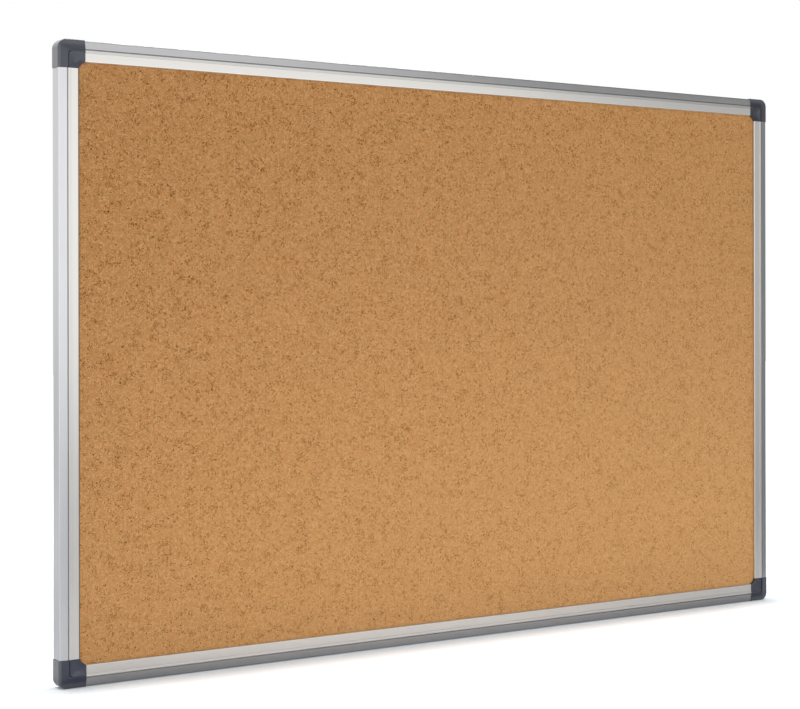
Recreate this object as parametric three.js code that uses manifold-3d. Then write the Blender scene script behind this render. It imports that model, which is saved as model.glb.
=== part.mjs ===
// Cork notice board with an aluminium frame and moulded corner caps, in millimetres.
// The board hangs on a wall. +X runs to its right, +Z up and -Y out of the wall, and the origin is
// on the wall plane behind the middle of the board.
// Everything is drawn lying on its back, with x along, y up the board and z out of the wall, and the
// last group stands it up.

import * as THREE from "three";
import { mergeVertices } from "three/addons/utils/BufferGeometryUtils.js";
import Module from "manifold-3d";

const wasm = await Module();
wasm.setup();

// Board
const boardWidth = 900; // over the rails
const boardHeight = 600;

// Panel, a sandwich of three sheets
const corkThickness = 2;
const coreThickness = 8.6;
const backingThickness = 0.5;
const glueLine = 0.1;
const recessDepth = 2.6; // from the front of the inner band back to the cork
const panelEdgeGap = 0.4; // panel edge to the rail's web
const fitGap = 0.1; // panel to the flanges that hold it

// Rail section: u runs inwards from the outer edge and v outwards from the wall
const railFace = 20;
const railWall = 1.2;
const chamberWidth = 11;
const backFlangeReach = 8;
const bandDrop = 1.2; // the inner band's front over the side's front edge
const bandRise = 0.3; // the outer band's top over the inner band
const outerEdgeRadius = 0.8;
const lipThickness = 1.3;
const lipEdgeRadius = 0.9;
const beadWidth = 1.4; // bead under the lip that bears on the cork
const grooveStart = 7.8;
const grooveWidth = 1.2;
const grooveDepth = 0.9;
const grooveFlank = 0.2;
const ridgeRise = 0.45; // the strip beside the groove over the inner band
const ridgeFall = 0.15; // across the strip
const ridgeEnd = 11.4;
const ridgeStep = 0.3;

// Corner cap
const capLength = 26; // along each rail, from the corner
const capProud = 0.7; // how far its sides stand out from the rails
const capEdgeProud = 0.3; // how far its front edge does
const capFrontProud = 0.6; // how far its face does from the rails' inner band
const capWall = 1.5;
const capRoof = 2.3; // plate over the inner face
const capCornerRadius = 8;
const capBackGap = 0.3; // clear of the wall
const capEdgeRadius = 1;
const capEndLip = 1.2; // closes the end over the connector
const capGrooveStart = 8.7;
const capGrooveWidth = 1.1;
const capGrooveDepth = 1;
const capGrooveFlank = 0.2;
const capGrooveCornerRadius = 3.4;
const windowSagShare = 0.118; // hollow of the slanting edge beside the cork, of its length
const capFaceEdge = 0.35; // softened edge round the inner face
const dishDepth = 1;
const dishShares = [0.84, 0.66, 0.48, 0.3]; // where its steps lie, of the inner face's outline
const pegRadius = 1.5;
const pegLength = 5;
const pegTaper = 0.4; // at its tip
const pegAlong = 19;
const pegGap = 0.15;
const pegRoot = 0.8; // how far it runs up into the cap's roof

// Corner connector
const connectorGap = 0.2; // to the inside of the cap
const connectorWall = 1.5;
const connectorTopGap = 0.3;
const buttGap = 0.2; // rail end to cap end
const legLength = 32;
const legGap = 0.15; // to the inside of the rail
const legWall = 1.4;
const legTipTaper = 1.2;
const legRibCount = 2;
const legRibThickness = 1.2;
const socketWall = 1.4;
const wallScrewAt = 7; // hole centre from each outer edge
const wallScrewRadius = 2.25;
const wellRadius = 4.2;
const wellWall = 1.2;
const wellFloor = 3;

// Countersunk screws that hold each rail on its connectors
const railScrewInset = 16; // from the rail's end
const screwRadius = 1.45;
const screwHeadRadius = 2.7;
const screwHeadHeight = 1.25;
const screwLength = 9;
const screwTip = 1.6;
const screwSink = 0.1; // head below the back of the rail
const screwGap = 0.15;
const screwBossWall = 1.3;
const driveWidth = 0.7;
const driveSpan = 3;
const driveDepth = 0.8;

// How far a cutter runs past what it cuts
const overrun = 2;

// How finely round things are divided
const edgeSteps = 3;
const grooveSteps = 6;
const cornerSteps = 10;
const windowSteps = 6;
const rodSides = 20;

// Depths from the wall that follow from the stack of sheets
const backingBack = railWall + fitGap;
const coreBack = backingBack + backingThickness + glueLine;
const corkBack = coreBack + coreThickness + glueLine;
const corkFront = corkBack + corkThickness;
const crestDepth = corkFront + recessDepth;
const railSideDepth = crestDepth - bandDrop;
const chamberCeiling = railSideDepth - railWall;
const beadFoot = corkFront + fitGap;
const bandSlope = (bandDrop + bandRise) / grooveStart;
const connectorTop = chamberCeiling - connectorTopGap;
const capUnderside = chamberCeiling;
const capFace = crestDepth + capFrontProud;
const capSideTop = railSideDepth + capEdgeProud;
const capRoofUnder = capFace - capRoof;

// Places that follow from the rail and the cap
const connectorOuter = capWall - capProud + connectorGap;
const connectorInner = chamberWidth - legGap;
const connectorReach = capLength - buttGap;
const chamberMiddle = chamberWidth / 2;
const legOuter = railWall + legGap;
const legInner = chamberWidth - railWall - legGap;
const legBack = railWall + legGap;
const legFront = chamberCeiling - legGap;
const legTip = capLength + legLength;
const railScrewAlong = capLength + buttGap + railScrewInset;
const panelInset = chamberWidth + panelEdgeGap;
const pegPlaces = [[pegAlong, chamberMiddle], [chamberMiddle, pegAlong]];

// Materials
const aluminium = new THREE.MeshStandardMaterial({ color: 0xc9cacc, roughness: 0.38, metalness: 0.9 });
const cork = new THREE.MeshStandardMaterial({ color: 0xb78655, roughness: 0.95, metalness: 0 });
const softboard = new THREE.MeshStandardMaterial({ color: 0x8f7d66, roughness: 0.95, metalness: 0 });
const kraft = new THREE.MeshStandardMaterial({ color: 0xb59a74, roughness: 0.9, metalness: 0 });
const capPlastic = new THREE.MeshStandardMaterial({ color: 0x4a4d56, roughness: 0.45, metalness: 0 });
const connectorPlastic = new THREE.MeshStandardMaterial({ color: 0x33353a, roughness: 0.55, metalness: 0 });
const zincSteel = new THREE.MeshStandardMaterial({ color: 0xb8bbc0, roughness: 0.35, metalness: 1 });

// A closed three.js geometry as a solid that can be cut and joined.
function solid(geometry) {
  const bare = geometry.clone();
  bare.deleteAttribute("normal");
  bare.deleteAttribute("uv");
  const merged = mergeVertices(bare);
  const vertProperties = new Float32Array(merged.attributes.position.array);
  const triVerts = new Uint32Array(merged.index.array);
  return new wasm.Manifold(new wasm.Mesh({ numProp: 3, vertProperties, triVerts }));
}

// The solid's surface as a geometry again.
function geometryOf(manifold) {
  const mesh = manifold.getMesh();
  const geometry = new THREE.BufferGeometry();
  geometry.setAttribute("position", new THREE.BufferAttribute(mesh.vertProperties, 3));
  geometry.setIndex(new THREE.BufferAttribute(mesh.triVerts, 1));
  const faceted = geometry.toNonIndexed();
  faceted.computeVertexNormals();
  return faceted;
}

// An outline in plan, given as [x, y] points, standing from z = low to z = high.
function slab(points, low, high) {
  const shape = new THREE.Shape(points.map(([x, y]) => new THREE.Vector2(x, y)));
  const geometry = new THREE.ExtrudeGeometry(shape, { depth: high - low, bevelEnabled: false });
  return solid(geometry.translate(0, 0, low));
}

// A rectangle in plan, standing from z = low to z = high.
function block(x0, y0, x1, y1, low, high) {
  return slab([[x0, y0], [x1, y0], [x1, y1], [x0, y1]], low, high);
}

// A body of revolution about a line parallel to z through (x, y), from [radius, height] points.
function turned(x, y, profile) {
  const points = profile.map(([radius, height]) => new THREE.Vector2(radius, height));
  const geometry = new THREE.LatheGeometry(points, rodSides);
  return solid(geometry.rotateX(Math.PI / 2).translate(x, y, 0));
}

// A round rod parallel to z.
function rod(x, y, radius, low, high) {
  return turned(x, y, [[0, low], [radius, low], [radius, high], [0, high]]);
}

// A closed skin over loops of [x, y, z] points that all have the same count, from back to front.
function loft(loops) {
  const count = loops[0].length;
  const flat = loops.flat(2);
  const faces = [];
  loops.slice(1).forEach((_, level) => {
    for (let i = 0; i < count; i++) {
      const a = level * count + i;
      const b = level * count + ((i + 1) % count);
      faces.push(a, b, b + count, a, b + count, a + count);
    }
  });
  const capFaces = (loop, first, facingFront) => {
    const outline = loop.map(([x, y]) => new THREE.Vector2(x, y));
    for (const [a, b, c] of THREE.ShapeUtils.triangulateShape(outline, [])) {
      if (facingFront) faces.push(first + a, first + b, first + c);
      else faces.push(first + a, first + c, first + b);
    }
  };
  capFaces(loops[0], 0, false);
  capFaces(loops[loops.length - 1], (loops.length - 1) * count, true);
  const geometry = new THREE.BufferGeometry();
  geometry.setAttribute("position", new THREE.Float32BufferAttribute(flat, 3));
  geometry.setIndex(faces);
  return solid(geometry);
}

// Points on an arc about (cx, cy), both ends included.
function arc(cx, cy, radius, from, to, steps) {
  return Array.from({ length: steps + 1 }, (_, i) => {
    const angle = from + ((to - from) * i) / steps;
    return [cx + radius * Math.cos(angle), cy + radius * Math.sin(angle)];
  });
}

// The rail's section as a shape, with the hollow that takes the connector's leg.
function railSection() {
  const slopeAngle = Math.atan(bandSlope);
  const edgeCentre =
    railSideDepth + bandSlope * outerEdgeRadius - outerEdgeRadius * Math.hypot(1, bandSlope);
  const lipUnder = crestDepth - lipThickness;
  const grooveEnd = grooveStart + grooveWidth;
  const grooveRadius = grooveWidth / 2 - grooveFlank;
  const grooveCentre = crestDepth - grooveDepth + grooveRadius;
  const outline = [
    [0, 0],
    [chamberWidth + backFlangeReach, 0],
    [chamberWidth + backFlangeReach, railWall],
    [chamberWidth, railWall],
    [chamberWidth, lipUnder],
    [railFace - beadWidth, lipUnder],
    [railFace - beadWidth, beadFoot],
    [railFace, beadFoot],
    ...arc(railFace - lipEdgeRadius, crestDepth - lipEdgeRadius, lipEdgeRadius, 0, Math.PI / 2, edgeSteps),
    [ridgeEnd + ridgeStep, crestDepth],
    [ridgeEnd, crestDepth + ridgeRise - ridgeFall],
    [grooveEnd, crestDepth + ridgeRise],
    ...arc((grooveStart + grooveEnd) / 2, grooveCentre, grooveRadius, 0, -Math.PI, grooveSteps),
    [grooveStart, crestDepth + bandRise],
    ...arc(outerEdgeRadius, edgeCentre, outerEdgeRadius, Math.PI / 2 + slopeAngle, Math.PI, edgeSteps),
  ];
  const shape = new THREE.Shape(outline.map(([u, v]) => new THREE.Vector2(u, v)));
  const far = chamberWidth - railWall;
  const hollow = [[railWall, railWall], [railWall, chamberCeiling], [far, chamberCeiling], [far, railWall]];
  shape.holes.push(new THREE.Path(hollow.map(([u, v]) => new THREE.Vector2(u, v))));
  return shape;
}

// A rail along x with its outer edge on y = 0, drilled and countersunk from the back at both ends.
function rail(frameLength) {
  const length = frameLength - 2 * (capLength + buttGap);
  const geometry = new THREE.ExtrudeGeometry(railSection(), { depth: length, bevelEnabled: false });
  const axes = new THREE.Matrix4().makeBasis(
    new THREE.Vector3(0, 1, 0),
    new THREE.Vector3(0, 0, 1),
    new THREE.Vector3(1, 0, 0),
  );
  geometry.applyMatrix4(axes).translate(-length / 2, 0, 0);
  const holeRadius = screwRadius + screwGap;
  const mouthRadius = screwHeadRadius + screwGap + screwSink;
  const sinkDepth = mouthRadius - holeRadius;
  const drill = (x) =>
    turned(x, chamberMiddle, [
      [0, -overrun],
      [mouthRadius, -overrun],
      [mouthRadius, 0],
      [holeRadius, sinkDepth],
      [holeRadius, railWall + overrun],
      [0, railWall + overrun],
    ]);
  const at = frameLength / 2 - railScrewAlong;
  return geometryOf(solid(geometry).subtract(drill(-at)).subtract(drill(at)));
}

// A square at the corner with its outer edges inset by side, its outer corner rounded, and its
// other edges past the cap's ends, for cuts that run out of the cap there.
function openOutline(side, cornerRadius) {
  const at = side + cornerRadius;
  const end = capLength + overrun;
  const corner = arc(at, at, cornerRadius, Math.PI, Math.PI * 1.5, cornerSteps);
  return [...corner, [end, side], [end, end], [side, end]];
}

// The corner's outline in plan. The outer edges are inset by side, the ends and the slanting edge
// beside the cork by inner, and the outer corner is rounded.
function cornerOutline(side, inner, cornerRadius) {
  const end = capLength - inner;
  const halfChord = (capLength - railFace) / Math.SQRT2;
  const sag = windowSagShare * 2 * halfChord;
  const windowRadius = (halfChord ** 2 + sag ** 2) / (2 * sag);
  const middle = (capLength + railFace) / 2;
  const centre = middle + (windowRadius - sag) / Math.SQRT2;
  const radius = windowRadius + inner;
  const meet = centre - Math.sqrt(radius ** 2 - (centre - end) ** 2);
  const from = Math.atan2(meet - centre, end - centre);
  const to = Math.atan2(end - centre, meet - centre);
  const at = side + cornerRadius;
  return [
    ...arc(at, at, cornerRadius, Math.PI, Math.PI * 1.5, cornerSteps),
    [end, side],
    ...arc(centre, centre, radius, from, to, windowSteps),
    [side, end],
  ];
}

const lift = (outline, height) => outline.map(([x, y]) => [x, y, height]);

// Corner radius of a cap loop that lies side in from the rails' outer edges.
const capRadiusAt = (side) => Math.max(capCornerRadius - side, capGrooveCornerRadius);

// The cap's outer form: side walls, a sloping band, a groove and a dished inner face.
function capBody() {
  const slope = (capFace - capSideTop) / (capGrooveStart + capProud);
  const edgeCentre = capSideTop + slope * capEdgeRadius - capEdgeRadius * Math.hypot(1, slope);
  const edgeEnd = Math.PI / 2 + Math.atan(slope);
  const edge = arc(capEdgeRadius - capProud, edgeCentre, capEdgeRadius, Math.PI, edgeEnd, edgeSteps);
  const grooveEnd = capGrooveStart + capGrooveWidth;
  const grooveFloor = capFace - capGrooveDepth;
  const faceSide = grooveEnd + capFaceEdge;
  const loop = (side, inner, height) => lift(cornerOutline(side, inner, capRadiusAt(side)), height);
  const band = loft([
    loop(-capProud, 0, capBackGap),
    ...edge.map(([side, height]) => loop(side, 0, height)),
    loop(capGrooveStart, 0, capFace),
  ]);
  const openLoop = (side, height) => lift(openOutline(side, capRadiusAt(side)), height);
  const insideBand = loft([
    openLoop(capGrooveStart + capGrooveFlank, grooveFloor),
    openLoop(capGrooveStart, capFace),
    openLoop(capGrooveStart, capFace + overrun),
  ]);
  const rim = loop(faceSide, capFaceEdge, capFace);
  const middle = (faceSide + capLength - capFaceEdge) / 2;
  const dish = dishShares.map((share, i) => {
    const height = capFace - (dishDepth * (1 - Math.cos(((i + 1) / dishShares.length) * Math.PI))) / 2;
    return rim.map(([x, y]) => [middle + share * (x - middle), middle + share * (y - middle), height]);
  });
  const face = loft([
    loop(grooveEnd - capGrooveFlank, 0, grooveFloor - capFaceEdge),
    loop(grooveEnd - capGrooveFlank, 0, grooveFloor),
    loop(grooveEnd, 0, capFace - capFaceEdge),
    rim,
    ...dish,
  ]);
  return band.subtract(insideBand).add(face);
}

// The snap-off corner cap: a shell with pegs that push into the connector.
function cap() {
  const inside = capWall - capProud;
  const room = openOutline(inside, capCornerRadius - inside);
  const pocketSide = inside + capWall;
  const pocket = cornerOutline(pocketSide, capEndLip, capCornerRadius - pocketSide);
  let body = capBody();
  body = body.subtract(slab(room, -overrun, capUnderside));
  body = body.subtract(slab(pocket, capUnderside - overrun, capRoofUnder));
  const pegTip = connectorTop - pegLength;
  const pegProfile = [
    [0, pegTip],
    [pegRadius - pegTaper, pegTip],
    [pegRadius, pegTip + pegTaper],
    [pegRadius, capRoofUnder + pegRoot],
    [0, capRoofUnder + pegRoot],
  ];
  for (const [x, y] of pegPlaces) body = body.add(turned(x, y, pegProfile));
  return geometryOf(body);
}

// One arm of the connector, a trough along x that the rail slides over.
function leg() {
  const start = connectorReach - connectorWall;
  const outside = [
    [start, legOuter],
    [legTip - legTipTaper, legOuter],
    [legTip, legOuter + legTipTaper],
    [legTip, legInner - legTipTaper],
    [legTip - legTipTaper, legInner],
    [start, legInner],
  ];
  const troughStart = start + connectorWall + legWall;
  const troughEnd = legTip - legTipTaper - legWall;
  const troughFloor = legBack + legWall;
  let arm = slab(outside, legBack, legFront);
  arm = arm.subtract(
    block(troughStart, legOuter + legWall, troughEnd, legInner - legWall, troughFloor, legFront + overrun),
  );
  const bay = (troughEnd - troughStart) / (legRibCount + 1);
  for (let i = 1; i <= legRibCount; i++) {
    const x = troughStart + bay * i - legRibThickness / 2;
    arm = arm.add(block(x, legOuter, x + legRibThickness, legInner, legBack, legFront - legWall));
  }
  const pilotRadius = screwRadius + screwGap;
  const pilotTop = screwSink + screwLength + screwGap;
  const bossRadius = pilotRadius + screwBossWall;
  arm = arm.add(rod(railScrewAlong, chamberMiddle, bossRadius, legBack, pilotTop + screwBossWall));
  return arm.subtract(rod(railScrewAlong, chamberMiddle, pilotRadius, -overrun, pilotTop));
}

// The same solid with x and y exchanged, for the other arm. Each triangle turns round with it.
function swapped(manifold) {
  const { vertProperties, triVerts } = manifold.getMesh();
  for (let i = 0; i < vertProperties.length; i += 3)
    [vertProperties[i], vertProperties[i + 1]] = [vertProperties[i + 1], vertProperties[i]];
  for (let i = 0; i < triVerts.length; i += 3)
    [triVerts[i], triVerts[i + 1]] = [triVerts[i + 1], triVerts[i]];
  return new wasm.Manifold(new wasm.Mesh({ numProp: 3, vertProperties, triVerts }));
}

// The hidden corner connector: back plate, hollow elbow with the wall screw's well, sockets, arms.
function connector() {
  const plate = cornerOutline(connectorOuter, buttGap, capCornerRadius - connectorOuter);
  const elbow = (inset) => {
    const outer = connectorOuter + inset;
    const inner = connectorInner - inset;
    const reach = connectorReach - inset;
    const at = capCornerRadius;
    return [
      ...arc(at, at, at - outer, Math.PI, Math.PI * 1.5, cornerSteps),
      [reach, outer],
      [reach, inner],
      [inner, inner],
      [inner, reach],
      [outer, reach],
    ];
  };
  const socketRadius = pegRadius + pegGap;
  const socketFloor = connectorTop - pegLength - connectorTopGap;
  const wellOuter = wellRadius + wellWall;
  let body = slab(elbow(0), 0, connectorTop);
  body = body.subtract(slab(elbow(connectorWall), railWall, connectorTop + overrun));
  body = body.add(slab(plate, 0, railWall));
  body = body.add(rod(wallScrewAt, wallScrewAt, wellOuter, 0, connectorTop));
  for (const [x, y] of pegPlaces) body = body.add(rod(x, y, socketRadius + socketWall, 0, connectorTop));
  body = body.add(leg()).add(swapped(leg()));
  body = body.subtract(rod(wallScrewAt, wallScrewAt, wellRadius, wellFloor, connectorTop + overrun));
  body = body.subtract(rod(wallScrewAt, wallScrewAt, wallScrewRadius, -overrun, wellFloor + overrun));
  for (const [x, y] of pegPlaces)
    body = body.subtract(rod(x, y, socketRadius, socketFloor, connectorTop + overrun));
  return geometryOf(body);
}

// A countersunk self-tapping screw that points out of the wall, with a cross recess in its head.
function railScrew() {
  const shoulder = screwSink + screwHeadHeight;
  const end = screwSink + screwLength;
  let screw = turned(0, 0, [
    [0, screwSink],
    [screwHeadRadius, screwSink],
    [screwRadius, shoulder],
    [screwRadius, end - screwTip],
    [0, end],
  ]);
  const half = driveWidth / 2;
  const reach = driveSpan / 2;
  const floor = screwSink + driveDepth;
  screw = screw.subtract(block(-reach, -half, reach, half, -overrun, floor));
  screw = screw.subtract(block(-half, -reach, half, reach, -overrun, floor));
  return geometryOf(screw);
}

// A flat sheet behind the rails' lips.
function sheet(back, front) {
  const geometry = new THREE.BoxGeometry(
    boardWidth - 2 * panelInset,
    boardHeight - 2 * panelInset,
    front - back,
  );
  return geometry.translate(0, 0, (back + front) / 2);
}

function named(name, geometry, material) {
  const mesh = new THREE.Mesh(geometry, material);
  mesh.name = name;
  return mesh;
}

// What repeats at every corner and rail end
const capShape = cap();
const connectorShape = connector();
const screwShape = railScrew();

// The four sides in turn, each with its rail, the corner that its rail starts from, and what its
// rail's two screws are called.
const sides = [
  { name: "bottom_rail", corner: "bottom_left", lies: true, ends: ["left", "right"] },
  { name: "right_rail", corner: "bottom_right", lies: false, ends: ["lower", "upper"] },
  { name: "top_rail", corner: "top_right", lies: true, ends: ["right", "left"] },
  { name: "left_rail", corner: "top_left", lies: false, ends: ["upper", "lower"] },
];

function frameSide({ name, corner, lies, ends }) {
  const length = lies ? boardWidth : boardHeight;
  const across = lies ? boardHeight : boardWidth;
  const side = new THREE.Group();
  side.add(named(name, rail(length), aluminium));
  ends.forEach((end, i) => {
    const screw = named(name + "_" + end + "_screw", screwShape, zincSteel);
    const direction = i === 0 ? -1 : 1;
    screw.position.set(direction * (length / 2 - railScrewAlong), chamberMiddle, 0);
    side.add(screw);
  });
  const elbow = new THREE.Group();
  elbow.add(named(corner + "_connector", connectorShape, connectorPlastic));
  elbow.add(named(corner + "_cap", capShape, capPlastic));
  elbow.position.x = -length / 2;
  side.add(elbow);
  side.position.y = -across / 2;
  return side;
}

const lying = new THREE.Group();
sides.forEach((side, quarter) => {
  const turn = new THREE.Group();
  turn.add(frameSide(side));
  turn.rotation.z = (quarter * Math.PI) / 2;
  lying.add(turn);
});
lying.add(named("backing_sheet", sheet(backingBack, backingBack + backingThickness), kraft));
lying.add(named("core_board", sheet(coreBack, coreBack + coreThickness), softboard));
lying.add(named("cork_sheet", sheet(corkBack, corkFront), cork));
lying.rotation.x = Math.PI / 2;

const noticeBoard = new THREE.Group();
noticeBoard.add(lying);

export default noticeBoard;
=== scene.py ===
"""Cork notice board: finishes, softened edges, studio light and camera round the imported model.

Sizes are in metres, in the model's own frame: +X to the board's right, +Z up, -Y out of the wall.
"""

import math
import bmesh
import bpy
from mathutils import Matrix, Vector


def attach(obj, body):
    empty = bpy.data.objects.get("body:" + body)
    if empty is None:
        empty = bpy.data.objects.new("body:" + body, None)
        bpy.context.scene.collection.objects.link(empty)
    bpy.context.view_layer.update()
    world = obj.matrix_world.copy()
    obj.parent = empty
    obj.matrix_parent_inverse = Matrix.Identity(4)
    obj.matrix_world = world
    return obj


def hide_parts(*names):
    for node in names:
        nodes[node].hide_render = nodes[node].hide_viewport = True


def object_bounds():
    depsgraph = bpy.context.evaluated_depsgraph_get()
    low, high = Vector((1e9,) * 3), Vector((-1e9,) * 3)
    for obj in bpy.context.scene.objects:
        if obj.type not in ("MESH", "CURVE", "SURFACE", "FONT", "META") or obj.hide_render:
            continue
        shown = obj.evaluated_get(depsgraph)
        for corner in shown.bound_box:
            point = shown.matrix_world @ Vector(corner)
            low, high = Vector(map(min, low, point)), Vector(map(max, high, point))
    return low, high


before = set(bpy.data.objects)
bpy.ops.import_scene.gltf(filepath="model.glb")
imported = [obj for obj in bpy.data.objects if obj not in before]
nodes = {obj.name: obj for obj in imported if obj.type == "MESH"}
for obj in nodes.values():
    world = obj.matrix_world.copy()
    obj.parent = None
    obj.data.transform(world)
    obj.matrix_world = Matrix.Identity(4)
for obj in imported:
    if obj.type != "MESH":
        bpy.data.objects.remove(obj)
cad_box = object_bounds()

MM = 0.001
CORNERS = ("top_left", "top_right", "bottom_left", "bottom_right")
LYING_RAILS = ("top_rail", "bottom_rail")
STANDING_RAILS = ("left_rail", "right_rail")

# The photograph's camera, with pixel values in its own frame
PHOTO_WIDTH = 800
FOCAL_PIXELS = 1728.6
HORIZON_ABOVE_MIDDLE_PIXELS = 47.5
SENSOR_WIDTH = 36.0  # in millimetres
CAMERA_PLACE = (-1.0524, -1.5223, 0.0520)
CAMERA_YAW = math.radians(32.94)
CAMERA_ROLL = math.radians(0.095)
CLIP = (0.01, 100.0)

# Lines along a rail, by distance inwards from its outer edge
BOARD_HALF_WIDTH = 450 * MM
BOARD_HALF_HEIGHT = 300 * MM
OUTER_EDGE = (-1 * MM, 1.1 * MM)
BRIGHT_EDGE = (0.1 * MM, 0.9 * MM)
GROOVE = (7.7 * MM, 9.1 * MM)
RIDGE = (9.1 * MM, 11.4 * MM)
LIP_EDGE = (18.8 * MM, 21 * MM)
LINE_BLUR = 0.1 * MM

# Rails' metal, and how much painted shade or painted highlight each line of it gets, as much darker or
# paler than the rest as the photograph shows it.
# The painted edge, ridge and lip lines are on the top and left rails alone, where the light brings them
# out; the groove's painted shade is on every rail.
METAL_TONE = 0.80
METAL_ROUGHNESS = 0.31
DRAWN_OUT = 0.004
OUTER_METAL = (0.985, 0.985, 1.0)
# The inner bands' warm tint is a painted reflection of the cork
INNER_METAL_PAINTED_CORK_REFLECTION = (1.0, 0.975, 0.93)
LYING_EDGE_PAINTED_SHADE = 0.42
LYING_RIDGE_PAINTED_SHADE = 0.22
LYING_LIP_PAINTED_HIGHLIGHT = 0.18
LYING_GROOVE_PAINTED_SHADE = 0.38
STANDING_EDGE_PAINTED_HIGHLIGHT = 0.22
STANDING_LIP_PAINTED_SHADOW = 0.75
STANDING_GROOVE_PAINTED_SHADE = 0.24

# Caps: painted light and shade that follow the photograph's light, so they are painted paler near the
# board's sides and ends, by the distances given here, and painted darker and less blue at its right
CAP_SIDE_PAINTED_LIGHT = (0.4 * MM, 2.8 * MM)
CAP_RIGHT_PAINTED_LIGHT = (6.0 * MM, 8.5 * MM)
CAP_RIGHT_PAINTED_LIGHT_SHARE = 0.38
CAP_END_PAINTED_LIGHT = (2.0 * MM, 6.0 * MM)
CAP_PLASTIC = (0.008, 0.014, 0.042)
CAP_PLASTIC_PAINTED_RIGHT_SHADE = (0.003, 0.006, 0.020)
CAP_PLASTIC_PAINTED_END_LIGHT = (0.062, 0.068, 0.082)
CAP_PLASTIC_PAINTED_SIDE_LIGHT = (0.084, 0.088, 0.102)
CAP_SHEEN = (0.75, 0.86, 1.0)

# Cork: cells to the metre, strokes as half widths and half lengths, and colours
BROAD_CELLS = 250.0
FINE_CELLS = 430.0
BARK_CELLS = 260.0
CRUMB_CELLS = 600.0
BROAD_STROKE = (0.38 * MM, 1.5 * MM)
FINE_STROKE = (0.34 * MM, 1.0 * MM)
CORK_ONE = (0.486, 0.227, 0.077)
CORK_OTHER = (0.461, 0.229, 0.082)
CORK_PAINTED_LIGHT_FADE = (0.345, 0.275, 0.14)
CORK_PALE_CURL = (0.67, 0.405, 0.186)
CORK_DARK_CURL = (0.18, 0.066, 0.007)
CORK_CRUMB = (0.15, 0.051, 0.005)
CORK_BARK = (0.10, 0.033, 0.004)

# Cork: the noises and ranks between which a seam or a stroke becomes a curl or a speck
DARK_BROAD_SEAM = (0.625, 0.665)
DARK_FINE_SEAM = (0.64, 0.68)
DARK_STROKE = (0.86, 0.92)
PALE_BROAD_SEAM = (0.41, 0.47)
PALE_FINE_SEAM = (0.39, 0.45)
PALE_BROAD_STROKE = (0.24, 0.30)
PALE_FINE_STROKE = (0.26, 0.32)
BARK_RANK = (0.86, 0.90)
CRUMB_RANK = (0.83, 0.90)

# The other finishes' plain colours
CONNECTOR_PLASTIC = (0.030, 0.032, 0.037)
WOOD_FIBRE = (0.29, 0.20, 0.115)
KRAFT = (0.45, 0.305, 0.165)
ZINC = (0.78, 0.79, 0.80)

# Floor: its size and colour, and what the camera and the metal see of it; the metal sees a painted shadow
# at the board's foot and painted shade away from it and towards its ends
FLOOR_SIZE = 14.0
FLOOR_COLOUR = (0.82, 0.82, 0.82)
FLOOR_TO_CAMERA = (0.90, 0.96, 1.0)
FLOOR_GLOW_TO_CAMERA = 0.08
FLOOR_GLOW_TO_CAMERA_CLEAR = 0.27
SHADE_TO_CLEAR = (0.022, 0.055)
FLOOR_PAINTED_LIGHT_PAST_END = 0.17
PAST_END = (-8 * MM, 10 * MM)
FLOOR_GLOW_TO_CAMERA_AFAR = 1.0
AFAR = (0.3, 1.6)
FLOOR_TINT_IN_METAL = (0.96, 0.99, 1.03)
FLOOR_IN_METAL_PAINTED_FOOT_SHADOW = 0.42
FLOOR_IN_METAL_NEAR = 0.74
FLOOR_IN_METAL_AWAY = 0.48
FOOT_TO_NEAR = (0.005, 0.06)
NEAR_TO_AWAY = (0.08, 0.40)
FLOOR_IN_METAL_RIGHT_SHARE = 0.72
FLOOR_IN_METAL_LEFT_SHARE = 0.80
MIDDLE_TO_RIGHT = (0.05, 0.55)
LEFT_TO_MIDDLE = (-0.45, -0.15)
FLOOR_GLOW_BEHIND_IN_METAL = 0.26
FLOOR_GLOW_REACH = (0.04, 0.9)

# A dim card to the board's right, and the room
FLAG_PLACE = 0.56
FLAG_FRONT = -0.09
FLAG_BACK = 0.45
FLAG_TOP = 0.33
FLAG_SEEN_IN_METAL = 0.19
ROOM_LIGHT = 0.45
ROOM_SEEN_IN_METAL = 0.20
BACKDROP_SEEN_IN_METAL = 0.79
FRONT_TO_BACKDROP = (-0.25, 0.35)

# Lamps: name, place, the point faced, width, height, brightness, and whether they light
# matt surfaces and show in shiny ones. A brightness is that of a white card that fills the view.
LAMPS = (
    ("front_softbox", (0.30, -1.60, 0.30), (0.30, 0.0, 0.30), 2.1, 1.0, 0.975, True, True),
    ("right_softbox", (1.85, -1.45, 0.25), (0.6, 0.0, 0.1), 0.9, 1.2, 0.34, True, True),
    ("upper_softbox", (0.10, -1.50, 1.35), (0.1, 0.0, 0.2), 2.0, 0.8, 0.496, True, True),
    ("ceiling_strip", (0.0, 0.12, 2.3), (0.0, 0.12, 0.0), 2.6, 0.28, 22.0, True, True),
    ("left_softbox", (-2.0, -1.1, 0.25), (-0.3, 0.0, 0.1), 1.9, 1.5, 1.0, False, True),
    ("low_lamp", (0.20, -0.38, -0.272), (0.20, 0.0, -0.12), 1.4, 0.04, 5.6, True, False),
)

# Edge softening on the finer copies of the solids
RAIL_EDGE = 0.10 * MM
CAP_EDGE = 0.18 * MM
CONNECTOR_EDGE = 0.15 * MM
SCREW_EDGE = 0.06 * MM
EDGE_SEGMENTS = 2
MERGE_WITHIN = 0.001 * MM
FLAT_WITHIN = math.radians(0.4)
SHARP_FROM = math.radians(34)

FULL_TURN = 6.28  # in radians

# Outputs of Blender's nodes by their number
OBJECT_PLACE = 3
DIRECTION = 0
CAMERA_RAY = 0
GLOSSY_RAY = 3
CELL_COLOUR = 1
CELL_MIDDLE = 2
NOISE_COLOUR = 1


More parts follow.
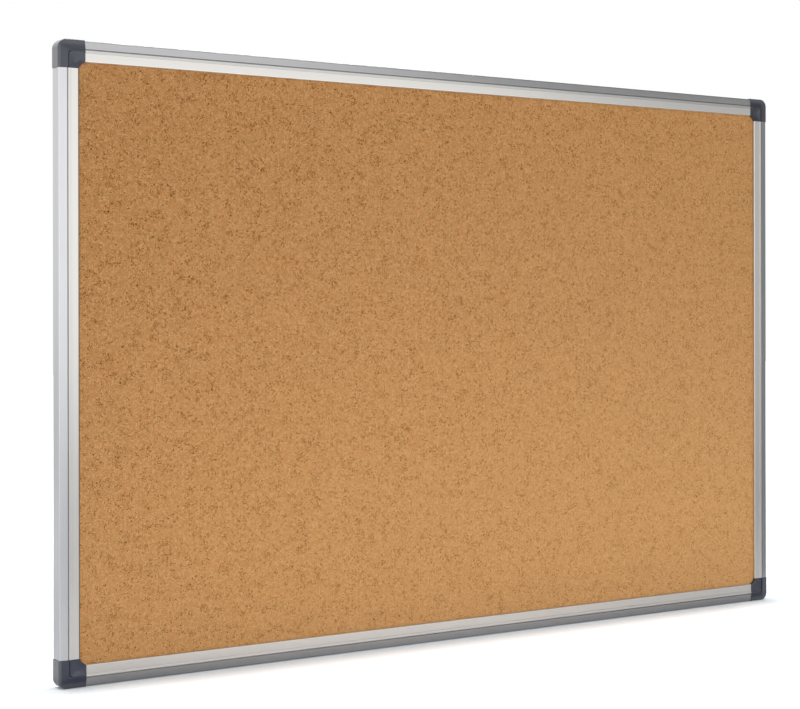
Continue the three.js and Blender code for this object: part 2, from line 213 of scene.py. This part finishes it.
class Number:
    """A shader socket that holds a number. Sums and products on it add Math nodes."""

    def __init__(self, graph, socket):
        self.graph = graph
        self.socket = socket

    def maths(self, operation, *values):
        return self.graph.node("ShaderNodeMath", {"operation": operation}, *values)

    def __add__(self, other):
        return self.maths("ADD", self, other)

    __radd__ = __add__

    def __sub__(self, other):
        return self.maths("SUBTRACT", self, other)

    def __rsub__(self, other):
        return self.maths("SUBTRACT", other, self)

    def __mul__(self, other):
        return self.maths("MULTIPLY", self, other)

    __rmul__ = __mul__

    def size(self):
        return self.maths("ABSOLUTE", self)

    def most(self, other):
        return self.maths("MAXIMUM", self, other)

    def ramp(self, low, high, start=0.0, end=1.0):
        """Smoothly from start at low to end at high, and level beyond them."""
        settings = {"interpolation_type": "SMOOTHSTEP"}
        return self.graph.node("ShaderNodeMapRange", settings, self, low, high, start, end)

    def fade(self, low, high):
        """Smoothly from one at low to nothing at high."""
        return self.ramp(low, high, 1.0, 0.0)

    def within(self, low, high):
        """One between low and high and nothing beyond them, with slightly blurred ends."""
        return self.ramp(low - LINE_BLUR, low + LINE_BLUR) * self.fade(high - LINE_BLUR, high + LINE_BLUR)


class Graph:
    """The nodes of one material or of the world."""

    def __init__(self, owner):
        owner.use_nodes = True
        self.tree = owner.node_tree
        self.tree.nodes.clear()

    def node(self, kind, settings, *values, output=0, **named):
        """Adds a node with its settings, then its sockets' values or links by order or by name."""
        made = self.tree.nodes.new(kind)
        for key, value in settings.items():
            setattr(made, key, value)
        pairs = [(made.inputs[i], value) for i, value in enumerate(values)]
        by_name = {s.identifier.replace(" ", "_"): s for s in made.inputs}
        pairs += [(by_name[key], value) for key, value in named.items()]
        for socket, value in pairs:
            if isinstance(value, Number):
                self.tree.links.new(value.socket, socket)
            else:
                socket.default_value = value
        return Number(self, made.outputs[output]) if made.outputs else None

    def colour(self, *rgb):
        """A plain colour as a value for a colour socket."""
        return (*rgb, 1.0)

    def mix(self, share, first, second):
        """The first colour at share 0 and the second at 1."""
        settings = {"data_type": "RGBA"}
        return self.node("ShaderNodeMix", settings, output=2,
                         Factor_Float=share, A_Color=first, B_Color=second)

    def times(self, colour, number):
        """A colour made lighter or darker by a number."""
        grey = self.node("ShaderNodeCombineColor", {}, number, number, number)
        settings = {"data_type": "RGBA", "blend_type": "MULTIPLY"}
        return self.node("ShaderNodeMix", settings, output=2,
                         Factor_Float=1.0, A_Color=colour, B_Color=grey)

    def place(self, scale=(1.0, 1.0, 1.0), turn=0.0):
        """The object's own coordinates, scaled and then turned about the Y axis."""
        coordinates = self.node("ShaderNodeTexCoord", {}, output=OBJECT_PLACE)
        settings = {"vector_type": "POINT"}
        unmoved = (0.0, 0.0, 0.0)
        turned = (0.0, turn, 0.0)
        return self.node("ShaderNodeMapping", settings, coordinates, unmoved, turned, scale)

    def axis(self, place, number):
        return self.node("ShaderNodeSeparateXYZ", {}, place, output=number)

    def noise(self, place, scale, detail=2.0, roughness=0.5, output=0):
        return self.node("ShaderNodeTexNoise", {}, Vector=place, Scale=scale, Detail=detail,
                         Roughness=roughness, output=output)

    def warped(self, place, scale, reach, detail=2.0):
        """The place pushed about by noise, by up to about half of reach."""
        push = self.noise(place, scale, detail, output=NOISE_COLOUR)
        centred = self.node("ShaderNodeVectorMath", {"operation": "SUBTRACT"}, push, (0.5, 0.5, 0.5))
        scaled = self.node("ShaderNodeVectorMath", {"operation": "SCALE"}, Vector=centred, Scale=reach)
        return self.node("ShaderNodeVectorMath", {"operation": "ADD"}, place, scaled)

    def cells(self, place, scale, feature="F1", output=0):
        return self.node("ShaderNodeTexVoronoi", {"feature": feature}, Vector=place, Scale=scale,
                         output=output)

    def strokes(self, place, scale, half_width, half_length):
        """A short stroke at its own angle in each cell, with two ranks and a place for its grain."""
        own = self.cells(place, scale, output=CELL_COLOUR)
        rank, hue_rank, turn_rank = (self.part(own, channel) for channel in range(3))
        middle = self.cells(place, scale, output=CELL_MIDDLE)
        apart = self.node("ShaderNodeVectorMath", {"operation": "SUBTRACT"}, place, middle)
        settings = {"rotation_type": "Y_AXIS"}
        turned = self.node("ShaderNodeVectorRotate", settings, Vector=apart, Angle=FULL_TURN * turn_rank)
        stretched = self.node("ShaderNodeVectorMath", {"operation": "MULTIPLY"}, turned, (1.0, 1.0, 0.25))
        grain_place = self.node("ShaderNodeVectorMath", {"operation": "ADD"}, stretched, own)
        across = self.axis(turned, 0).size().fade(0.5 * half_width, 1.4 * half_width)
        along = self.axis(turned, 2).size().fade(0.7 * half_length, 1.2 * half_length)
        return rank, hue_rank, grain_place, across * along

    def part(self, colour, channel):
        return self.node("ShaderNodeSeparateColor", {}, colour, output=channel)

    def bump(self, height, depth):
        """A relief of that depth in metres."""
        return self.node("ShaderNodeBump", {}, Strength=1.0, Distance=depth, Height=height)

    def glow(self, strength):
        return self.node("ShaderNodeEmission", {}, self.colour(1, 1, 1), strength)

    def surface(self, **sockets):
        shader = self.node("ShaderNodeBsdfPrincipled", {}, **sockets)
        self.node("ShaderNodeOutputMaterial", {}, shader)


def material(name):
    made = bpy.data.materials.new(name)
    return made, Graph(made)


# Finishes


def anodised_aluminium(name, lying):
    """Satin extrusion: drawn lines, a soft mottle, painted shade in the groove, a painted reflection of
    the cork on the inner band, and the photograph's lines as painted shade and highlights.
    """
    made, g = material(name)
    drawn = g.place((DRAWN_OUT, 1.0, 1.0) if lying else (1.0, 1.0, DRAWN_OUT))
    plain = g.place()
    fine = g.noise(drawn, 2600.0, 2.0, 0.6)
    broad = g.noise(drawn, 420.0, 2.0, 0.5)
    mottle = g.noise(plain, 60.0, 3.0, 0.55)
    tone = METAL_TONE + 0.055 * (fine - 0.5) + 0.045 * (broad - 0.5) + 0.02 * (mottle - 0.5)
    if lying:
        height = g.axis(plain, 2)
        inwards = BOARD_HALF_HEIGHT - height.size()
        upper = height.ramp(-MM, MM)
        # Painted shade on the top rail's outer edge and ridge, and a painted highlight on its lip
        tone = tone * (1.0 - LYING_EDGE_PAINTED_SHADE * upper * inwards.within(*OUTER_EDGE))
        tone = tone * (1.0 - LYING_RIDGE_PAINTED_SHADE * upper * inwards.within(*RIDGE))
        tone = tone * (1.0 + LYING_LIP_PAINTED_HIGHLIGHT * upper * inwards.within(*LIP_EDGE))
        # Painted shade in the groove
        tone = tone * (1.0 - LYING_GROOVE_PAINTED_SHADE * inwards.within(*GROOVE))
    else:
        sideways = g.axis(plain, 0)
        inwards = BOARD_HALF_WIDTH - sideways.size()
        left = sideways.fade(-MM, MM)
        # Painted highlight on the left rail's outer edge, and a painted shadow line along its lip beside
        # the cork
        tone = tone * (1.0 + STANDING_EDGE_PAINTED_HIGHLIGHT * left * inwards.within(*BRIGHT_EDGE))
        tone = tone * (1.0 - STANDING_LIP_PAINTED_SHADOW * left * inwards.within(*LIP_EDGE))
        # Painted shade in the groove
        tone = tone * (1.0 - STANDING_GROOVE_PAINTED_SHADE * inwards.within(*GROOVE))
    # Painted reflection of the cork: a warm tint on the inner band
    cork_reflection_band = inwards.ramp(RIDGE[0] - LINE_BLUR, RIDGE[0] + LINE_BLUR)
    base = g.times(g.mix(cork_reflection_band, g.colour(*OUTER_METAL), g.colour(*INNER_METAL_PAINTED_CORK_REFLECTION)), tone)
    roughness = METAL_ROUGHNESS + 0.10 * (fine - 0.5) + 0.05 * (mottle - 0.5)
    relief = g.bump(fine, 0.004 * MM)
    g.surface(Base_Color=base, Metallic=1.0, Roughness=roughness, Normal=relief)
    return made


def cap_plastic():
    """Slate grey moulding with a fine grain, with painted light near the board's sides and ends and
    painted shade at its right.
    """
    made, g = material("cap_plastic")
    plain = g.place()
    grain = g.noise(plain, 2400.0, 3.0, 0.65)
    cloud = g.noise(plain, 90.0, 2.0)
    from_side = BOARD_HALF_WIDTH - g.axis(plain, 0).size()
    from_end = BOARD_HALF_HEIGHT - g.axis(plain, 2).size()
    right = g.axis(plain, 0).ramp(-MM, MM)
    # Painted light near the board's sides and ends, and painted shade on the caps at its right
    side_painted_light = from_side.fade(*CAP_SIDE_PAINTED_LIGHT)
    side_painted_light = side_painted_light.most(CAP_RIGHT_PAINTED_LIGHT_SHARE * right * from_side.fade(*CAP_RIGHT_PAINTED_LIGHT))
    end_painted_light = from_end.fade(*CAP_END_PAINTED_LIGHT)
    plastic = g.mix(right, g.colour(*CAP_PLASTIC), g.colour(*CAP_PLASTIC_PAINTED_RIGHT_SHADE))
    plastic = g.mix(end_painted_light, plastic, g.colour(*CAP_PLASTIC_PAINTED_END_LIGHT))
    plastic = g.mix(side_painted_light, plastic, g.colour(*CAP_PLASTIC_PAINTED_SIDE_LIGHT))
    base = g.times(plastic, 1.0 + 0.16 * (grain - 0.5) + 0.12 * (cloud - 0.5))
    roughness = 0.36 + 0.12 * (grain - 0.5) + 0.06 * (cloud - 0.5)
    relief = g.bump(grain, 0.012 * MM)
    g.surface(Base_Color=base, Roughness=roughness, Specular_IOR_Level=0.75, Normal=relief,
              Coat_Weight=0.9, Coat_Roughness=0.25, Sheen_Weight=1.0, Sheen_Roughness=0.3,
              Sheen_Tint=g.colour(*CAP_SHEEN))
    return made


def connector_plastic():
    """Dark moulding, duller than the caps, with faint flow marks. Its look is a guess."""
    made, g = material("connector_plastic")
    plain = g.place()
    grain = g.noise(plain, 1500.0, 3.0, 0.6)
    flow = g.noise(g.warped(plain, 60.0, 0.02), 45.0, 3.0)
    base = g.times(g.colour(*CONNECTOR_PLASTIC), 1.0 + 0.2 * (grain - 0.5) + 0.5 * (flow - 0.5))
    roughness = 0.5 + 0.1 * (grain - 0.5) + 0.12 * (flow - 0.5)
    g.surface(Base_Color=base, Roughness=roughness, Normal=g.bump(grain, 0.01 * MM))
    return made


def cork():
    """Pressed cork: granules, brown and pale curls and strokes between them, and bark specks.

    Painted light makes it duller and its pattern fainter towards the lower right, as in the photograph.
    """
    made, g = material("cork")
    plain = g.place()
    wandering = g.warped(plain, 260.0, 3.2 * MM, 3.0)
    fine_place = g.warped(plain, 420.0, 1.8 * MM, 2.0)
    tone_rank, hue_rank, grain_place, broad_stroke = g.strokes(wandering, BROAD_CELLS, *BROAD_STROKE)
    fine_rank, _, _, fine_stroke = g.strokes(fine_place, FINE_CELLS, *FINE_STROKE)
    streak = g.noise(grain_place, 1050.0, 1.0, 0.5)
    cloud = g.noise(plain, 26.0, 3.0, 0.6)
    patch = g.noise(plain, 110.0, 2.0)
    gather = g.noise(g.place(turn=0.4), 85.0, 2.0).ramp(0.36, 0.68, -0.05, 0.05)

    broad_seam = g.cells(wandering, BROAD_CELLS, "DISTANCE_TO_EDGE").fade(0.01, 0.045)
    fine_seam = g.cells(fine_place, FINE_CELLS, "DISTANCE_TO_EDGE").fade(0.02, 0.075)
    broad_part = g.noise(g.place(turn=0.7), 290.0, 1.0)
    fine_part = g.noise(g.place(turn=1.9), 360.0, 1.0)
    dark_curl = broad_seam * (broad_part + gather).ramp(*DARK_BROAD_SEAM)
    dark_curl = dark_curl.most(fine_seam * (fine_part + gather).ramp(*DARK_FINE_SEAM))
    dark_curl = dark_curl.most(broad_stroke * (tone_rank + 2.0 * gather).ramp(*DARK_STROKE))
    dark_curl = dark_curl.most(fine_stroke * (fine_rank + 2.0 * gather).ramp(*DARK_STROKE))
    pale_curl = broad_seam * broad_part.fade(*PALE_BROAD_SEAM)
    pale_curl = pale_curl.most(fine_seam * fine_part.fade(*PALE_FINE_SEAM))
    pale_curl = pale_curl.most(broad_stroke * tone_rank.fade(*PALE_BROAD_STROKE))
    pale_curl = pale_curl.most(fine_stroke * fine_rank.fade(*PALE_FINE_STROKE))

    bark_place = g.warped(plain, 800.0, 1.2 * MM, 2.0)
    bark_rank = g.part(g.cells(bark_place, BARK_CELLS, output=CELL_COLOUR), 2) + 3.0 * gather
    bark = g.cells(bark_place, BARK_CELLS).fade(0.15, 0.27) * bark_rank.ramp(*BARK_RANK)
    crumb_rank = g.part(g.cells(bark_place, CRUMB_CELLS, output=CELL_COLOUR), 2) + 3.0 * gather
    crumb = g.cells(bark_place, CRUMB_CELLS).fade(0.22, 0.44) * crumb_rank.ramp(*CRUMB_RANK)

    tone = 1.02 + 0.04 * (tone_rank - 0.5) + 0.18 * (streak - 0.5)
    tone = tone + 0.11 * (cloud - 0.5) + 0.04 * (patch - 0.5)
    hue = g.mix(hue_rank, g.colour(*CORK_ONE), g.colour(*CORK_OTHER))
    # Painted light: a duller colour and a fainter pattern towards the lower right
    painted_light_fade = (0.5 + 0.52 * g.axis(plain, 0) - 0.96 * g.axis(plain, 2)).ramp(0.0, 1.0, 0.0, 0.22)
    even = g.mix(painted_light_fade, hue, g.colour(*CORK_PAINTED_LIGHT_FADE))
    base = g.times(even, tone)
    base = g.mix(0.74 * pale_curl, base, g.colour(*CORK_PALE_CURL))
    base = g.mix(0.95 * dark_curl, base, g.colour(*CORK_DARK_CURL))
    base = g.mix(0.88 * crumb, base, g.colour(*CORK_CRUMB))
    base = g.mix(0.92 * bark, base, g.colour(*CORK_BARK))
    base = g.mix(1.6 * painted_light_fade, base, g.times(even, 1.02))
    height = 0.5 * tone_rank + 0.5 * streak + 0.4 * pale_curl - dark_curl - 0.8 * bark
    g.surface(Base_Color=base, Roughness=0.9, Specular_IOR_Level=0.12, Normal=g.bump(height, 0.05 * MM))
    return made


def softboard():
    """Pressed wood fibre. Its look is a guess, as the core is out of sight."""
    made, g = material("softboard")
    fibre_place = g.warped(g.place((1.0, 1.0, 3.0)), 160.0, 4 * MM)
    fibre = g.noise(fibre_place, 700.0, 5.0, 0.7)
    cloud = g.noise(g.place(), 60.0, 3.0)
    base = g.times(g.colour(*WOOD_FIBRE), 1.0 + 0.7 * (fibre - 0.5) + 0.3 * (cloud - 0.5))
    g.surface(Base_Color=base, Roughness=0.95, Specular_IOR_Level=0.2, Normal=g.bump(fibre, 0.2 * MM))
    return made


def kraft_paper():
    """Brown backing paper with short fibres, streaks and flecks. Its look is a guess."""
    made, g = material("kraft_paper")
    plain = g.place()
    fibre_place = g.warped(plain, 300.0, 3 * MM)
    fibre = (g.noise(fibre_place, 900.0, 2.0) - 0.5).size().fade(0.0, 0.06)
    streak = g.noise(g.place((1.0, 1.0, 0.03)), 240.0, 3.0)
    cloud = g.noise(plain, 18.0, 4.0, 0.6)
    fleck = g.cells(g.warped(plain, 500.0, 2 * MM), 260.0).fade(0.08, 0.2)
    tone = 1.0 + 0.12 * fibre + 0.14 * (streak - 0.5) + 0.2 * (cloud - 0.5) - 0.12 * fleck
    base = g.times(g.colour(*KRAFT), tone)
    relief = g.bump(fibre + 0.8 * streak, 0.03 * MM)
    g.surface(Base_Color=base, Roughness=0.82, Specular_IOR_Level=0.3, Normal=relief)
    return made


def zinc_plated_steel():
    """Bright zinc with a faint mottle and spangle. Its look is a guess."""
    made, g = material("zinc_plated_steel")
    plain = g.place()
    mottle = g.noise(plain, 900.0, 3.0, 0.6)
    spangle = g.part(g.cells(plain, 1100.0, output=CELL_COLOUR), 0)
    base = g.times(g.colour(*ZINC), 0.9 + 0.2 * (mottle - 0.5) + 0.06 * (spangle - 0.5))
    roughness = 0.27 + 0.2 * (mottle - 0.5)
    g.surface(Base_Color=base, Metallic=1.0, Roughness=roughness, Normal=g.bump(mottle, 0.006 * MM))
    return made


# Finer copies of the solids


def softened(node, width, finish, body):
    """A copy of a node's solid as clean faces with softened edges, which shows in its place."""
    shape = bmesh.new()
    shape.from_mesh(nodes[node].data)
    bmesh.ops.remove_doubles(shape, verts=shape.verts[:], dist=MERGE_WITHIN)
    bmesh.ops.dissolve_limit(shape, angle_limit=FLAT_WITHIN, verts=shape.verts[:], edges=shape.edges[:])
    for face in shape.faces:
        face.smooth = True
    piece = from_shape(node + "_piece", shape, finish)
    piece.data.name = node + "_body"
    edge = piece.modifiers.new("edges", "BEVEL")
    edge.width = width
    edge.segments = EDGE_SEGMENTS
    edge.limit_method = "ANGLE"
    edge.angle_limit = SHARP_FROM
    edge.use_clamp_overlap = True
    even = piece.modifiers.new("even", "WEIGHTED_NORMAL")
    even.keep_sharp = True
    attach(piece, body)
    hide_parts(node)


def from_shape(name, shape, finish):
    """An object of a bmesh shape, which is used up, with one finish."""
    mesh = bpy.data.meshes.new(name)
    shape.to_mesh(mesh)
    shape.free()
    mesh.materials.clear()
    mesh.materials.append(finish)
    piece = bpy.data.objects.new(name, mesh)
    bpy.context.scene.collection.objects.link(piece)
    return piece


def finish_node(node, finish):
    data = nodes[node].data
    data.materials.clear()
    data.materials.append(finish)


def dress():
    lying = anodised_aluminium("aluminium_lying", True)
    standing = anodised_aluminium("aluminium_standing", False)
    for rail in LYING_RAILS:
        softened(rail, RAIL_EDGE, lying, "board")
    for rail in STANDING_RAILS:
        softened(rail, RAIL_EDGE, standing, "board")
    cap_finish = cap_plastic()
    connector_finish = connector_plastic()
    for corner in CORNERS:
        softened(corner + "_cap", CAP_EDGE, cap_finish, corner + "_cap_body")
        softened(corner + "_connector", CONNECTOR_EDGE, connector_finish, "board")
    zinc = zinc_plated_steel()
    for node in nodes:
        if node.endswith("_screw"):
            softened(node, SCREW_EDGE, zinc, "board")
    finish_node("cork_sheet", cork())
    finish_node("core_board", softboard())
    finish_node("backing_sheet", kraft_paper())


# Studio


def floor():
    """A pale floor at the board's foot, whiter to the camera away from the board's shadow."""
    made, g = material("pale_floor")
    camera_ray = g.node("ShaderNodeLightPath", {}, output=CAMERA_RAY)
    metal_ray = g.node("ShaderNodeLightPath", {}, output=GLOSSY_RAY)
    along = g.axis(g.place(), 0)
    depth = g.axis(g.place(), 1)
    # Painted shadow at the board's foot, and painted shade further away and towards its ends, seen in the
    # metal alone
    painted_foot_shadow = depth.size().ramp(*FOOT_TO_NEAR, FLOOR_IN_METAL_PAINTED_FOOT_SHADOW, FLOOR_IN_METAL_NEAR)
    away_drop = depth.size().ramp(*NEAR_TO_AWAY, 0.0, FLOOR_IN_METAL_NEAR - FLOOR_IN_METAL_AWAY)
    right_share = along.ramp(*MIDDLE_TO_RIGHT, 1.0, FLOOR_IN_METAL_RIGHT_SHARE)
    left_drop = along.ramp(*LEFT_TO_MIDDLE, 1.0 - FLOOR_IN_METAL_LEFT_SHARE, 0.0)
    left_share = 1.0 - left_drop * depth.size().fade(*NEAR_TO_AWAY)
    painted_shade_in_metal = (painted_foot_shadow - away_drop) * right_share * left_share
    in_metal = g.times(g.colour(*FLOOR_TINT_IN_METAL), painted_shade_in_metal)
    unseen = g.mix(metal_ray, g.colour(*FLOOR_COLOUR), in_metal)
    matt = g.node("ShaderNodeBsdfDiffuse", {}, g.mix(camera_ray, unseen, g.colour(*FLOOR_TO_CAMERA)))
    clear_of_board = depth.size().most(along.size() - BOARD_HALF_WIDTH)
    near = clear_of_board.ramp(*SHADE_TO_CLEAR, FLOOR_GLOW_TO_CAMERA, FLOOR_GLOW_TO_CAMERA_CLEAR)
    # Painted light past the board's ends clears the shadows beside them for the camera
    painted_light_past_end = (along.size() - BOARD_HALF_WIDTH).ramp(*PAST_END, 0.0, FLOOR_PAINTED_LIGHT_PAST_END)
    near = near + painted_light_past_end
    afar = near + clear_of_board.ramp(*AFAR, 0.0, FLOOR_GLOW_TO_CAMERA_AFAR - FLOOR_GLOW_TO_CAMERA_CLEAR)
    behind = depth.ramp(*FLOOR_GLOW_REACH) * FLOOR_GLOW_BEHIND_IN_METAL
    glow = g.glow(camera_ray * afar + metal_ray * behind)
    g.node("ShaderNodeOutputMaterial", {}, g.node("ShaderNodeAddShader", {}, matt, glow))

    shape = bmesh.new()
    bmesh.ops.create_grid(shape, x_segments=1, y_segments=1, size=FLOOR_SIZE / 2)
    bmesh.ops.translate(shape, verts=shape.verts[:], vec=(0, 0, cad_box[0].z))
    piece = from_shape("floor", shape, made)


def flag():
    """A dim card that stands beside the board's right end and shows in the metal alone."""
    made, g = material("flag_card")
    g.node("ShaderNodeOutputMaterial", {}, g.glow(FLAG_SEEN_IN_METAL))

    shape = bmesh.new()
    turn = Matrix.Rotation(math.pi / 2, 4, "Y")
    foot = cad_box[0].z
    bmesh.ops.create_grid(shape, x_segments=1, y_segments=1, size=0.5, matrix=turn)
    bmesh.ops.scale(shape, verts=shape.verts[:], vec=(1.0, FLAG_BACK - FLAG_FRONT, FLAG_TOP - foot))
    middle = (FLAG_PLACE, (FLAG_BACK + FLAG_FRONT) / 2, (FLAG_TOP + foot) / 2)
    bmesh.ops.translate(shape, verts=shape.verts[:], vec=middle)
    piece = from_shape("flag", shape, made)
    piece.visible_camera = False
    piece.visible_diffuse = False
    piece.visible_shadow = False


def room():
    """An even room, white behind the board for the camera, and dim in front of it in the metal."""
    world = bpy.data.worlds.new("studio")
    bpy.context.scene.world = world
    g = Graph(world)
    camera_ray = g.node("ShaderNodeLightPath", {}, output=CAMERA_RAY)
    glossy_ray = g.node("ShaderNodeLightPath", {}, output=GLOSSY_RAY)
    direction = g.node("ShaderNodeTexCoord", {}, output=DIRECTION)
    behind = g.axis(direction, 1).ramp(*FRONT_TO_BACKDROP)
    in_metal = behind * BACKDROP_SEEN_IN_METAL + (1.0 - behind) * ROOM_SEEN_IN_METAL
    plain = ROOM_LIGHT * (1.0 - glossy_ray) + in_metal * glossy_ray
    strength = plain * (1.0 - camera_ray) + camera_ray
    light = g.node("ShaderNodeBackground", {}, g.colour(1, 1, 1), strength)
    g.node("ShaderNodeOutputWorld", {}, light)


def lights():
    for name, place, target, width, height, brightness, on_matt, in_shiny in LAMPS:
        data = bpy.data.lights.new(name, "AREA")
        data.shape = "RECTANGLE"
        data.size = width
        data.size_y = height
        data.energy = math.pi * width * height * brightness
        lamp = bpy.data.objects.new(name, data)
        lamp.location = place
        lamp.rotation_euler = (Vector(target) - Vector(place)).to_track_quat("-Z", "Y").to_euler()
        lamp.visible_camera = False
        lamp.visible_diffuse = on_matt
        lamp.visible_glossy = in_shiny
        bpy.context.scene.collection.objects.link(lamp)


def camera():
    data = bpy.data.cameras.new("camera")
    data.sensor_width = SENSOR_WIDTH
    data.lens = FOCAL_PIXELS * SENSOR_WIDTH / PHOTO_WIDTH
    data.shift_y = -HORIZON_ABOVE_MIDDLE_PIXELS / PHOTO_WIDTH
    data.clip_start, data.clip_end = CLIP
    placed = bpy.data.objects.new("camera", data)
    placed.location = CAMERA_PLACE
    placed.rotation_euler = (math.pi / 2, CAMERA_ROLL, -CAMERA_YAW)
    bpy.context.scene.collection.objects.link(placed)
    bpy.context.scene.camera = placed


dress()
floor()
flag()
room()
lights()
camera()
bpy.context.scene.view_settings.view_transform = "Standard"
